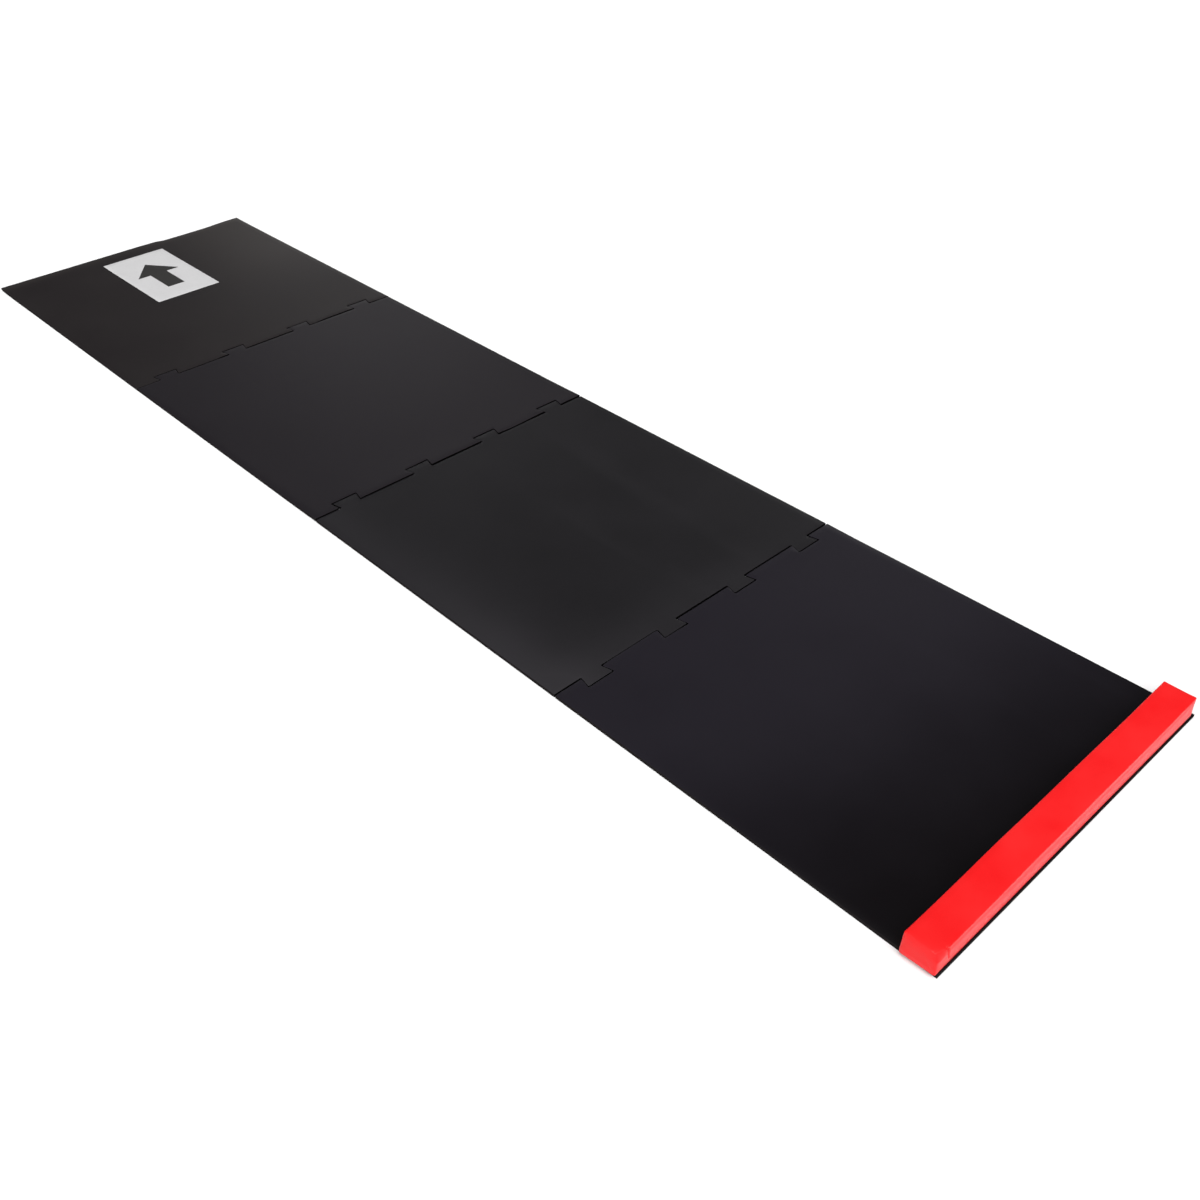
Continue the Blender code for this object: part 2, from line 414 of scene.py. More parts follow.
# Painted shade: the seam walls get a near-black, nearly shineless copy of the cut rubber. The rim walls
# keep its own colour.
SEAM_WALL_PAINTED_SHADE = cut_rubber("seam_wall_painted_shade", 0.02, (0.0006, 0.0005, 0.0006), (0.0016, 0.0013, 0.0015))
RIM_WALL = cut_rubber("rim_wall", 0.12, (0.0040, 0.0032, 0.0034), (0.0130, 0.0100, 0.0100))
print("wall finishes:", SEAM_WALL_PAINTED_SHADE.name, RIM_WALL.name)

# %% [markdown]
# ## Working by hand, in code
#
# Operators act on what is selected. So one helper selects a single object, one starts a
# primitive with nothing else selected, and one selects vertices, edges or faces of the open
# mesh by a test on their place. Most pieces here start as a box or a sheet of a known size,
# with its scale applied.

# %% Selecting and starting


def only(piece):
    """Selects the piece and nothing else."""
    bpy.ops.object.select_all(action="DESELECT")
    piece.select_set(True)
    bpy.context.view_layer.objects.active = piece


def apply_place():
    """Moves the object's place, turn and scale into its mesh."""
    bpy.ops.object.transform_apply(location=True, rotation=True, scale=True)


def begin(add, name, size, centre):
    """Starts a piece from a primitive of the given size, and opens its mesh."""
    bpy.ops.object.select_all(action="DESELECT")
    add(size=1, location=centre)
    piece = bpy.context.object
    piece.name = name
    piece.data.name = name
    piece.scale = size
    apply_place()
    bpy.ops.object.mode_set(mode="EDIT")
    return piece


def begin_box(name, low, high):
    return begin(bpy.ops.mesh.primitive_cube_add, name, high - low, (low + high) / 2)


def pick(kind, test):
    """Selects the vertices, edges or faces of the mesh in edit mode that pass the test."""
    bpy.ops.mesh.select_mode(type={"verts": "VERT", "edges": "EDGE", "faces": "FACE"}[kind])
    bpy.ops.mesh.select_all(action="DESELECT")
    data = bpy.context.object.data
    mesh = bmesh.from_edit_mesh(data)
    for part in getattr(mesh, kind):
        if test(part):
            part.select = True
    mesh.select_flush_mode()
    bmesh.update_edit_mesh(data)


# %% [markdown]
# The remaining helpers are the steps that come back in every piece: extrude what is picked,
# slide it, cut the whole mesh along a plane, round its vertical corners, and shade it smooth up
# to an angle.

# %% Shaping helpers
FLAT = 1e-5


def level(part, height):
    """Whether a part of a mesh lies flat at a height."""
    return all(abs(v.co.z - height) < FLAT for v in part.verts)


def upright(edge):
    return abs(edge.verts[0].co.z - edge.verts[1].co.z) > 1e-4


def middle(part):
    """The middle of an edge or a face."""
    return sum((v.co for v in part.verts), Vector()) / len(part.verts)


def extrude(*amount):
    bpy.ops.mesh.extrude_region_move(TRANSFORM_OT_translate={"value": amount})


def slide(*amount):
    bpy.ops.transform.translate(value=amount)


def slice_at(place, normal):
    bpy.ops.mesh.select_all(action="SELECT")
    bpy.ops.mesh.bisect(plane_co=place, plane_no=normal)


def round_edges(size, steps):
    bpy.ops.mesh.bevel(affect="EDGES", offset=size, segments=steps, profile=0.5)


def shade_smooth(degrees):
    """Closes the mesh, and smooths the shading over edges up to an angle."""
    bpy.ops.object.mode_set(mode="OBJECT")
    bpy.ops.object.shade_smooth_by_angle(angle=math.radians(degrees))


def finished(piece, body, node):
    """Puts the piece's place in its mesh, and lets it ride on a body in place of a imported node."""
    only(piece)
    apply_place()
    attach(piece, body)
    if node:
        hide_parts(node)
    print(piece.name, "rides on", body, "with", len(piece.data.polygons), "faces")


# %% [markdown]
# ## The jigsaw tiles
#
# A tile starts as a flat sheet. Where it has tabs, the stretch of edge under each tab is
# extruded and its two outer corners are slid apart, which makes the dovetail. Where it has
# sockets, the sheet ends at the bottom of the sockets and the stretches between them are
# extruded instead: a socket is what is left. The corners are rounded while the sheet is still
# flat, because one flat face is easy to bevel. Then the sheet gets its thickness and a rounded
# rim, and is sliced into a fine grid, so that it can bend a little, as rubber on a floor does.

# %% Edges of a tile
CORNER_ROUND = 0.0023
SPREAD = (TAB_TIP - TAB_ROOT) / 2
FLANK_SLOPE = SPREAD / TAB_LENGTH
SOCKET_GROWTH = SEAM_GAP * (FLANK_SLOPE + math.hypot(1, FLANK_SLOPE))


def at(x, y):
    """A test for the vertex at a place."""
    return lambda vert: abs(vert.co.x - x) < FLAT and abs(vert.co.y - y) < FLAT


def along(y, low, high):
    """A test for edges that lie on the line at y, between two places across the lane."""
    def test(edge):
        on_line = all(abs(v.co.y - y) < FLAT for v in edge.verts)
        return on_line and low < middle(edge).x < high
    return test


def add_tabs(y, direction):
    """Grows the tabs out of the edge at y."""
    for centre in TAB_MIDDLES:
        for side in (-1, 1):
            slice_at((centre + side * TAB_ROOT / 2, 0, 0), (1, 0, 0))
    for centre in TAB_MIDDLES:
        pick("edges", along(y, centre - TAB_ROOT / 2, centre + TAB_ROOT / 2))
        extrude(0, direction * TAB_LENGTH, 0)
        for side in (-1, 1):
            pick("verts", at(centre + side * TAB_ROOT / 2, y + direction * TAB_LENGTH))
            slide(side * SPREAD, 0, 0)


def add_sockets(y, direction):
    """Grows the stretches between the sockets. The sheet ends at y, the sockets' bottom."""
    wide = TAB_TIP / 2 + SOCKET_GROWTH
    for centre in TAB_MIDDLES:
        for side in (-1, 1):
            slice_at((centre + side * wide, 0, 0), (1, 0, 0))
    walls = [-SIDE] + [c + side * wide for c in TAB_MIDDLES for side in (-1, 1)] + [SIDE]
    for low, high in zip(walls[::2], walls[1::2]):
        pick("edges", along(y, low, high))
        extrude(0, direction * TAB_LENGTH, 0)
    for centre in TAB_MIDDLES:
        for side in (-1, 1):
            pick("verts", at(centre + side * wide, y + direction * TAB_LENGTH))
            slide(-side * SPREAD, 0, 0)


# %% [markdown]
# The sheet's near and far lines depend on what its edges are: with sockets, the sheet stops a
# tab's length short of the seam.

# %% A whole tile
GRID = 0.0145
RIM_ROUND = 0.0007
FOOT_ROUND = 0.0003
WALL_NORMAL = 0.9
NEAR_RIM = 0.002


def flat_sheet(name, near, far):
    """The tile's outline as one flat face. near and far are (line, kind of edge)."""
    ends = []
    for (line, kind), outwards in ((near, -1), (far, 1)):
        ends.append(line - outwards * TAB_LENGTH if kind == "sockets" else line)
    low, high = ends
    sheet = begin(bpy.ops.mesh.primitive_plane_add, name, (2 * SIDE, high - low, 1),
                  (0, (low + high) / 2, 0))
    for (line, kind), end, outwards in ((near, low, -1), (far, high, 1)):
        if kind == "tabs":
            add_tabs(end, outwards)
        if kind == "sockets":
            add_sockets(end, outwards)
    bpy.ops.mesh.select_all(action="SELECT")
    bpy.ops.mesh.remove_doubles(threshold=FLAT)
    bpy.ops.mesh.dissolve_limited(angle_limit=math.radians(0.5))
    return sheet


def thicken():
    """Rounds the jigsaw corners, gives the sheet its thickness, and rounds its rim."""
    pick("verts", lambda vert: abs(vert.co.x) < SIDE - FLAT)
    bpy.ops.mesh.bevel(affect="VERTICES", offset=CORNER_ROUND, segments=3, profile=0.5)
    bpy.ops.mesh.select_all(action="SELECT")
    extrude(0, 0, TILE_TOP)
    bpy.ops.mesh.select_all(action="SELECT")
    bpy.ops.mesh.normals_make_consistent(inside=False)
    for height, size, steps in ((TILE_TOP, RIM_ROUND, 3), (0, FOOT_ROUND, 1)):
        pick("edges", lambda edge: level(edge, height))
        round_edges(size, steps)


def slice_to_grid(low, high):
    """Cuts the tile into a grid of small faces, across and along."""
    across = round(2 * SIDE / GRID)
    for step in range(1, across):
        slice_at((-SIDE + step * 2 * SIDE / across, 0, 0), (1, 0, 0))
    lengthwise = round((high - low) / GRID)
    for step in range(1, lengthwise):
        slice_at((0, low + step * (high - low) / lengthwise, 0), (0, 1, 0))


def paint(piece, name, amount):
    """Stores a number at each vertex, from a function of its place, for the finish to read."""
    painted = piece.data.attributes.new(name, "FLOAT", "POINT")
    for vert in piece.data.vertices:
        painted.data[vert.index].value = amount(vert.co)


def make_tile(name, near, far, box, rubber_finish):
    """A flat tile. Its walls take one finish inside the seams, and another along the rim."""
    tile = flat_sheet(name, near, far)
    thicken()
    slice_to_grid(box[0].y, box[1].y)
    bpy.ops.object.mode_set(mode="OBJECT")
    for material in (rubber_finish, SEAM_WALL_PAINTED_SHADE, RIM_WALL):
        tile.data.materials.append(material)
    lines = [line for line, kind in (near, far) if kind == "straight"]
    for face in tile.data.polygons:
        if abs(face.normal.z) < WALL_NORMAL:
            place = face.center
            rim = (abs(place.x) > SIDE - NEAR_RIM
                   or any(abs(place.y - line) < NEAR_RIM for line in lines))
            face.material_index = 2 if rim else 1
    return tile


# %% [markdown]
# Rubber tiles never lie perfectly flat. They have come out of a roll, so each has long, low
# waves, and an edge may curl by a millimetre or two. Where a curled edge meets a flat one, the
# step casts the soft line that shows where the seam is. The heights are worked out from the
# place alone, so that the label on the tile can follow them as well. Under the block the tile
# is held flat.

# %% Waves and curls
WAVE_HEIGHT = 0.00045
WAVES_PER_METRE = 3.2
FLAT_UNDER_BLOCK = COVER_BOX[1].y + 0.02
FAR_END_CURL, FAR_SEAM_CURL = 0.0022, 0.0006
MIDDLE_SEAM_CURL = 0.0017
NEAR_SEAM_CURL, THIRD_TILE_CURL = 0.0008, 0.0002


def smooth_step(low, high, number):
    """Rises from 0 to 1 between low and high, or falls if low is the greater."""
    share = min(1.0, max(0.0, (number - low) / (high - low)))
    return share * share * (3 - 2 * share)


def curl(distance, reach, height):
    """The height at a distance from a curled edge, which dies away within the reach."""
    return height * max(0.0, 1 - max(0.0, distance) / reach) ** 2


def waves(x, y, seed):
    calm = smooth_step(FLAT_UNDER_BLOCK, FLAT_UNDER_BLOCK + 0.15, y)
    ripple = noise.noise(Vector((x, y, seed)) * WAVES_PER_METRE)
    return WAVE_HEIGHT * calm * (0.5 + 0.5 * ripple)


def lift_far(x, y):
    end = curl(FAR_END - y, 0.09, FAR_END_CURL) * (0.35 + 0.65 * smooth_step(0.14, 0.02, x))
    seam = curl(y - FAR_SEAM, 0.07, FAR_SEAM_CURL) * smooth_step(-0.08, 0.10, x)
    return waves(x, y, 1.0) + end + seam


def lift_second(x, y):
    share = 0.65 + 0.35 * smooth_step(0.20, -0.20, x)
    return waves(x, y, 2.0) + share * curl(y - MIDDLE_SEAM, 0.10, MIDDLE_SEAM_CURL)


def lift_third(x, y):
    return 0.6 * waves(x, y, 3.0) + curl(NEAR_SEAM - y + 0.02, 0.06, THIRD_TILE_CURL)


def lift_near(x, y):
    seam = curl(NEAR_SEAM - y, 0.07, NEAR_SEAM_CURL) * smooth_step(0.0, 0.12, x)
    return waves(x, y, 4.0) + seam


def bend(piece, lift):
    """Lifts every point of a lying piece by the height at its place."""
    for vert in piece.data.vertices:
        vert.co.z += lift(vert.co.x, vert.co.y)


print("left far corner lifts by", round(1000 * lift_far(-SIDE, FAR_END), 2), "mm")

# %% [markdown]
# The seams aren't equally tight either. Along some stretches the sheet's edge stands back by a
# millimetre or two, and beside the leftmost tab of the middle seam there is an open gap. Each
# of these is a small slide of the points near the seam, which fades out within a few
# centimetres.

# %% Loose places in the seams
FADE = 0.045
LOOSE = 0.0025
END_NOTCH = 0.0045
OPEN_FLANK, TAB_SLIDE = 0.0030, 0.0006


def fade(distance):
    return 1 - smooth_step(0.0, FADE, abs(distance))


def stretch(x, start, end, blur=0.03):
    """1 between two places across the lane, and 0 beyond them."""
    return smooth_step(start - blur, start, x) * smooth_step(end + blur, end, x)


def loosen(piece, shift):
    """Slides the piece's points along and across the lane by small amounts."""
    for vert in piece.data.vertices:
        across, lengthwise = shift(vert.co.x, vert.co.y)
        vert.co.x += across
        vert.co.y += lengthwise


def loosen_far(x, y):
    slack = 0.4 * stretch(x, -0.24, -0.12) + stretch(x, -0.10, 0.05) + stretch(x, 0.14, 0.24) - 0.1
    notch = fade(FAR_END - y) * smooth_step(0.080, 0.088, x) * smooth_step(0.27, 0.20, x)
    return 0, LOOSE * fade(y - FAR_SEAM) * slack - END_NOTCH * notch


def loosen_second(x, y):
    slack = 0.1 + 0.7 * stretch(x, -0.05, 0.10) + 0.9 * smooth_step(0.13, 0.20, x)
    beside_first_tab = smooth_step(-SIDE, -0.255, x) * smooth_step(-0.215, -0.245, x)
    near_seam = fade(y - MIDDLE_SEAM)
    return -OPEN_FLANK * beside_first_tab * near_seam, LOOSE * near_seam * slack


def loosen_third(x, y):
    first_tab = math.exp(-((x - TAB_MIDDLES[0]) / 0.03) ** 2)
    return TAB_SLIDE * first_tab * fade(y - MIDDLE_SEAM - TAB_LENGTH / 2), 0


def loosen_near(x, y):
    slack = 0.7 * smooth_step(-0.19, -0.22, x) + smooth_step(-0.08, -0.05, x) - 0.1
    return 0, -LOOSE * fade(y - NEAR_SEAM) * slack


print("seams open by up to", round(1000 * (SEAM_GAP + LOOSE), 1), "mm")

# %% [markdown]
# These functions give, from place to place, how far a tile's colour goes towards its lightest.
# Part of it is dust, gathered along the lane's edges where the tiles are picked up, and part is
# painted sheen and shade. On the far tile, the far edge and the far right corner are lighter:
# painted sheen, with some dust. On the near tile, the colour darkens towards the block: painted
# shade where the sheen fades. The second tile grows lighter towards the right. The third grows
# lighter along its left edge and beside the near seam.

# %% Dust and painted sheen


# Painted sheen with some dust: lighter along the far edge and towards the far right corner.
def far_dust_and_sheen(x, y):
    corner = smooth_step(0.0, 0.30, x) * smooth_step(0.75, 1.05, y)
    return 0.10 + 0.50 * corner + 0.45 * smooth_step(0.035, 0.0, FAR_END - y)


def second_lightening(x, y):
    return 0.18 + 0.20 * smooth_step(-0.30, 0.30, x)


def third_lightening(x, y):
    left = math.exp(-((x + SIDE) / 0.07) ** 2) * (0.35 + 0.45 * smooth_step(-0.15, -0.55, y))
    seam = math.exp(-((y - NEAR_SEAM) / 0.05) ** 2) * (0.25 - 0.5 * x)
    return 0.10 + left + seam


# Painted shade: darkest by the block, where the sheen fades, and lighter away from it.
def near_dust_and_shade(x, y):
    return smooth_step(-1.24, -0.82, y + 0.25 * x)


print("dust at the far end:", round(far_dust_and_sheen(0, FAR_END), 2))
print("dust by the block:", near_dust_and_shade(0, NEAR_END))

# %% [markdown]
# Now each tile is made, painted with its dust and its painted sheen and shade, loosened and bent. A tile
# replaces its packed node, so its ends are compared with the imported ones while it is still flat.

# %% Make the four tiles
TILES = {
    "far_tile": ("far", (FAR_SEAM + SEAM_GAP, "sockets"), (FAR_END, "straight"),
                 lift_far, loosen_far, far_dust_and_sheen),
    "second_tile": ("second", (MIDDLE_SEAM + SEAM_GAP, "sockets"), (FAR_SEAM, "tabs"),
                    lift_second, loosen_second, second_lightening),
    "third_tile": ("third", (NEAR_SEAM, "tabs"), (MIDDLE_SEAM, "tabs"),
                   lift_third, loosen_third, third_lightening),
    "near_tile": ("near", (NEAR_END, "straight"), (NEAR_SEAM - SEAM_GAP, "sockets"),
                  lift_near, loosen_near, near_dust_and_shade),
}
for node, (word, near, far, lift, shift, dust) in TILES.items():
    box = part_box(node)
    tile = make_tile(word + "_jigsaw_tile", near, far, box, RUBBER[word])
    ends = [min(v.co.y for v in tile.data.vertices), max(v.co.y for v in tile.data.vertices)]
    print(node, "misses its box by", [round(1000 * (e - b.y), 3) for e, b in zip(ends, box)], "mm")
    # The dust and the painted sheen and shade are stored on the mesh here.
    paint(tile, "dust", lambda co: dust(co.x, co.y))
    loosen(tile, shift)
    bend(tile, lift)
    shade_smooth(40)
    finished(tile, node, node)

# %% [markdown]
# ## The label
#
# A thin, light grey vinyl sheet is stuck to the far tile. It follows the tile's waves, because
# it is flexible. Satin vinyl is nearly even in tone, with a little dust in its grain, and
# printed ink on it is a dark grey rather than a full black.

# %% Label finish
vinyl = Finish("label_vinyl", Specular_IOR_Level=0.4)
vinyl_cloud = vinyl.cloud(26.0, 3.0)
vinyl_dust = vinyl.ramp(vinyl.cloud(140.0, 5.0), [(0.55, 0.0), (0.80, 1.0)])
vinyl_tone = vinyl.blend(vinyl_cloud, rgb(0.545, 0.540, 0.545), rgb(0.600, 0.595, 0.600))
vinyl.drive("Base Color", vinyl.blend(0.25 * vinyl_dust, vinyl_tone, rgb(0.44, 0.43, 0.42)))
vinyl.drive("Roughness", (0.38 + 0.12 * vinyl_cloud + 0.10 * vinyl_dust).clamped())
vinyl.bump(vinyl.cloud(300.0, 3.0), 0.00006, 0.3)

ink = Finish("label_ink", Specular_IOR_Level=0.35)
ink_cloud = ink.cloud(60.0, 3.0)
ink.drive("Base Color", ink.blend(ink_cloud, rgb(0.018, 0.017, 0.017), rgb(0.030, 0.029, 0.028)))
ink.drive("Roughness", 0.42 + 0.14 * ink_cloud)
ink.bump(ink.cloud(420.0, 2.0), 0.00005, 0.3)
print("label finishes:", vinyl.material.name, ink.material.name)

# %% Label sheet
LABEL_GRID = 0.012


def slice_sheet(low, high):
    """Cuts a lying sheet into small faces, so that it can follow the tile."""
    for place, end, normal in ((low.x, high.x, (1, 0, 0)), (low.y, high.y, (0, 1, 0))):
        count = round((end - place) / LABEL_GRID)
        for step in range(1, count):
            spot = place + step * (end - place) / count
            slice_at([spot * part for part in normal], normal)


low, high = LABEL_BOX
label = begin_box("label_sheet", low, high)
pick("edges", upright)
round_edges(0.0015, 3)
pick("edges", lambda edge: level(edge, high.z))
round_edges(0.00012, 2)
slice_sheet(low, high)
shade_smooth(40)
bend(label, lift_far)
label.data.materials.append(vinyl.material)
finished(label, "far_tile", "label_panel")

# %% [markdown]
# The print is a plain arrow along the lane. It is cut as its own thin sheet, so that its edges
# stay crisp from close up. It starts as the shaft. Its end edge is extruded and drawn together
# for the middle of the head, and then each side of that is extruded and drawn down to a point.

# %% Arrow print
ARROW_LENGTH, ARROW_WIDTH, SHAFT_WIDTH, HEAD_LENGTH = 0.150, 0.100, 0.040, 0.066
INK = 0.00008

centre = (low + high) / 2
tail = centre.y - ARROW_LENGTH / 2
neck = tail + ARROW_LENGTH - HEAD_LENGTH
arrow = begin(bpy.ops.mesh.primitive_plane_add, "label_arrow", (SHAFT_WIDTH, neck - tail, 1),
              (centre.x, (tail + neck) / 2, high.z + INK))
pick("edges", lambda edge: all(v.co.y > neck - FLAT for v in edge.verts))
extrude(0, HEAD_LENGTH, 0)
bpy.ops.transform.resize(value=(0.0, 1, 1), center_override=(centre.x, neck, high.z))
for side in (-1, 1):
    pick("edges", lambda edge: neck < middle(edge).y < neck + HEAD_LENGTH
         and side * (middle(edge).x - centre.x) > FLAT)
    extrude(side * (ARROW_WIDTH - SHAFT_WIDTH) / 2, 0, 0)
    pick("verts", lambda vert: vert.co.y > neck + FLAT)
    bpy.ops.transform.resize(value=(0.0, 1, 1), center_override=(centre.x, neck, high.z))
bpy.ops.mesh.select_all(action="SELECT")
bpy.ops.mesh.remove_doubles(threshold=FLAT)
bpy.ops.mesh.select_all(action="SELECT")
extrude(0, 0, -0.75 * INK)
bpy.ops.mesh.select_all(action="SELECT")
bpy.ops.mesh.normals_make_consistent(inside=False)
slice_sheet(Vector((centre.x - ARROW_WIDTH / 2, tail, 0)),
            Vector((centre.x + ARROW_WIDTH / 2, tail + ARROW_LENGTH, 0)))
bpy.ops.object.mode_set(mode="OBJECT")
bend(arrow, lift_far)
arrow.data.materials.append(ink.material)
finished(arrow, "far_tile", None)

# %% [markdown]
# ## The block's cover
#
# The raised block is a foam bar in a tight red vinyl cover. Pulled over foam, vinyl swells a
# little on its faces, rounds over its edges and creases at its corners. So the cover starts as
# a box a little too small, with its edges bevelled, is sliced into even squares, and is blown
# up from inside as cloth. The points may move only a millimetre or so, because the foam is
# firm.

# %% Start of the cover
COVER_SKIN = 0.0010
SWELL = 0.0005
UPRIGHT_ROUND, TOP_ROUND, FOOT_TURN = 0.0022, 0.0014, 0.0006
SQUARE = 0.0036


def bevelled_box(name, low, high):
    """A box with rounded edges, cut into even squares."""
    box = begin_box(name, low, high)
    pick("edges", upright)
    round_edges(UPRIGHT_ROUND, 3)
    for height, size, steps in ((high.z, TOP_ROUND, 3), (low.z, FOOT_TURN, 2)):
        pick("edges", lambda edge: level(edge, height))
        round_edges(size, steps)
    inset = Vector((UPRIGHT_ROUND, UPRIGHT_ROUND, TOP_ROUND))
    for axis in range(3):
        start, end = low[axis] + inset[axis], high[axis] - inset[axis]
        normal = [float(axis == other) for other in range(3)]
        count = round((end - start) / SQUARE)
        for step in range(1, count):
            spot = start + step * (end - start) / count
            slice_at([spot * part for part in normal], normal)
    bpy.ops.object.mode_set(mode="OBJECT")
    return box


low, high = COVER_BOX
margin = Vector((SWELL, SWELL, 0.5 * SWELL))
cover = bevelled_box("vinyl_cover", low + margin, high - margin)
print("cover starts with", len(cover.data.vertices), "points")

# %% [markdown]
# Cloth with pressure and no gravity swells like a cushion. Without the foam's firm push back it
# would swell far too much, so each move is squeezed under a cap by a tanh curve, which leaves
# small moves as they are. One subdivision smooths the result, and the piece is stretched by a
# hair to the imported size.

# %% Blow up the cover
PRESSURE = 4.0
FRAMES = 20


def blow_up(piece, cap):
    """Fills the piece with air as cloth, and holds every point within the cap of where it began."""
    before = [vert.co.copy() for vert in piece.data.vertices]
    cloth = piece.modifiers.new("air", "CLOTH")
    cloth.settings.use_pressure = True
    cloth.settings.uniform_pressure_force = PRESSURE
    cloth.settings.effector_weights.gravity = 0
    cloth.settings.quality = 5
    for frame_number in range(1, FRAMES + 1):
        bpy.context.scene.frame_set(frame_number)
    bpy.ops.object.modifier_apply(modifier="air")
    bpy.context.scene.frame_set(1)
    furthest = 0.0
    for vert, was in zip(piece.data.vertices, before):
        move = vert.co - was
        furthest = max(furthest, move.length)
        if move.length > 0:
            vert.co = was + move * (cap * math.tanh(move.length / cap) / move.length)
    print(piece.name, "was blown out by up to", round(1000 * furthest, 2), "mm before the cap")


blow_up(cover, SWELL)
subdivide = cover.modifiers.new("finer", "SUBSURF")
subdivide.levels = subdivide.render_levels = 1
bpy.ops.object.modifier_apply(modifier="finer")


def fit(piece, box):
    """Stretches the piece by a hair, so that its box is the given one again."""
    for axis in range(3):
        places = [vert.co[axis] for vert in piece.data.vertices]
        start, size = min(places), max(places) - min(places)
        for vert in piece.data.vertices:
            share = (vert.co[axis] - start) / size
            vert.co[axis] = box[0][axis] + share * (box[1][axis] - box[0][axis])
        print("stretched by", round((box[1][axis] - box[0][axis]) / size, 4))


fit(cover, COVER_BOX)
print("cover has", len(cover.data.polygons), "faces")

# %% [markdown]
# Foam gives way at its corners. At the left front corner the vinyl has slumped: the corner
# leans back and down, and the spare vinyl has folded into one short, sharp slit in the front
# face, a couple of centimetres from the end. Elsewhere there are only long, shallow waves. The
# faces near the slit are made finer first, because it is narrower than the cover's squares. The
# foam under the cover is copied before that, since it doesn't need them.

# %% Slump, slit and waves
LEFT_END, RIGHT_END = COVER_BOX[0].x, COVER_BOX[1].x
FRONT, BACK = COVER_BOX[0].y, COVER_BOX[1].y
FOOT, CROWN = COVER_BOX[0].z, COVER_BOX[1].z

SLUMP_DOWN, SLUMP_BACK = 0.0010, 0.0065
SLUMP_LENGTH, SLUMP_REACH = 0.0165, 0.014
SLIT_TOP, SLIT_BOTTOM = Vector((0.0190, 0.0350)), Vector((0.0245, 0.0125))
SLIT_DEPTH, SLIT_HALF_WIDTH = 0.0045, 0.0016


def finer_near_slit():
    """Makes smaller faces at the corner, and smaller ones still beside the slit."""
    bpy.ops.object.mode_set(mode="EDIT")
    for first, last, depth in ((0.0, 0.034, 0.014), (0.014, 0.029, 0.008)):
        pick("faces", lambda face: first < middle(face).x - LEFT_END < last
             and middle(face).y < FRONT + depth and middle(face).z > FOOT + 0.008)
        bpy.ops.mesh.subdivide(number_cuts=1, smoothness=0)
    bpy.ops.object.mode_set(mode="OBJECT")


def to_line(point, start, end):
    """The distance from a point to a line between two others, and the share along it."""
    run = end - start
    share = min(1.0, max(0.0, (point - start).dot(run) / run.length_squared))
    return (point - (start + run * share)).length, share


def slump(co):
    """Leans the top of the left front corner back and down."""
    along_front = max(0.0, 1 - (co.x - LEFT_END) / SLUMP_LENGTH)
    into_block = smooth_step(SLUMP_REACH, 0.0, co.y - FRONT)
    high = max(0.0, (co.z - FOOT) / (CROWN - FOOT) - 0.68) / 0.32
    weight = along_front * into_block * high
    co.z -= SLUMP_DOWN * weight
    co.y += SLUMP_BACK * weight


def press_slit(co, half_width, depth):
    """Pushes a narrow fold into the front face, with a notch where it meets the top."""
    away, share = to_line(Vector((co.x - LEFT_END, co.z - FOOT)), SLIT_TOP, SLIT_BOTTOM)
    fold = (1 - 0.75 * share) * math.exp(-(away / (half_width * (1.2 - 0.6 * share))) ** 2)
    near_front = smooth_step(FRONT + 0.007, FRONT + 0.001, co.y)
    top = smooth_step(CROWN - 0.004, CROWN - 0.0005, co.z)
    co.y += depth * fold * near_front * (1 - top)
    co.z -= 0.15 * depth * fold * near_front * top


def settle(co):
    """Spreads the foot, most at the back of the left end, and draws in the top of that end."""
    low_down = smooth_step(FOOT + 0.020, FOOT, co.z)
    back = smooth_step(FRONT, BACK, co.y)
    left = smooth_step(LEFT_END + 0.030, LEFT_END, co.x)
    co.x -= (0.0004 + 0.0014 * back) * low_down * left
    co.x += 0.0016 * left * smooth_step(FOOT + 0.018, CROWN, co.z)
    co.y -= 0.0008 * low_down * smooth_step(FRONT + 0.020, FRONT, co.y)


def long_waves(co):
    """The shallow waves of vinyl over foam. They leave the foot flat."""
    high = smooth_step(FOOT + 0.002, CROWN, co.z)
    sway = noise.noise(Vector((7.0 * co.x, 0.0, 5.5)))
    bulge = noise.noise(Vector((13.0 * co.x, 9.0 * co.y, 14.0 * co.z)))
    back = smooth_step(FRONT, BACK, co.y)
    co.z += high * (0.0007 * back * sway + 0.0004 * bulge)
    co.y += high * (0.0007 * sway + 0.0003 * bulge)


def end_creases(co):
    """The vinyl is folded over at the ends like a parcel, which leaves faint slanting creases."""
    for end, outwards in ((LEFT_END, -1), (RIGHT_END, 1)):
        if abs(co.x - end) > 0.008:
            continue
        spot = Vector((co.y, co.z))
        for foot, top in (((FRONT, FOOT), (FRONT + 0.020, CROWN - 0.010)),
                          ((BACK, FOOT), (BACK - 0.018, CROWN - 0.012))):
            away, share = to_line(spot, Vector(foot), Vector(top))
            co.x -= outwards * 0.0005 * math.exp(-(away / 0.0022) ** 2) * (1 - share)


def shape_vinyl(piece, half_width, depth):
    for vert in piece.data.vertices:
        press_slit(vert.co, half_width, depth)
        slump(vert.co)
        settle(vert.co)
        long_waves(vert.co)
        end_creases(vert.co)
        vert.co.z = max(vert.co.z, FOOT)


only(cover)
bpy.ops.object.duplicate()
foam = bpy.context.object
foam.name = foam.data.name = "foam_bar"

only(cover)
finer_near_slit()
shape_vinyl(cover, SLIT_HALF_WIDTH, SLIT_DEPTH)
print("cover has", len(cover.data.polygons), "faces with the slit")

# %% [markdown]
# Underneath, the cover is open: a hem turns in under the foam, round a long window through
# which the fastener strips meet. The window is cut out of the flat foot, and a Solidify
# modifier then gives the vinyl its thickness, inwards.

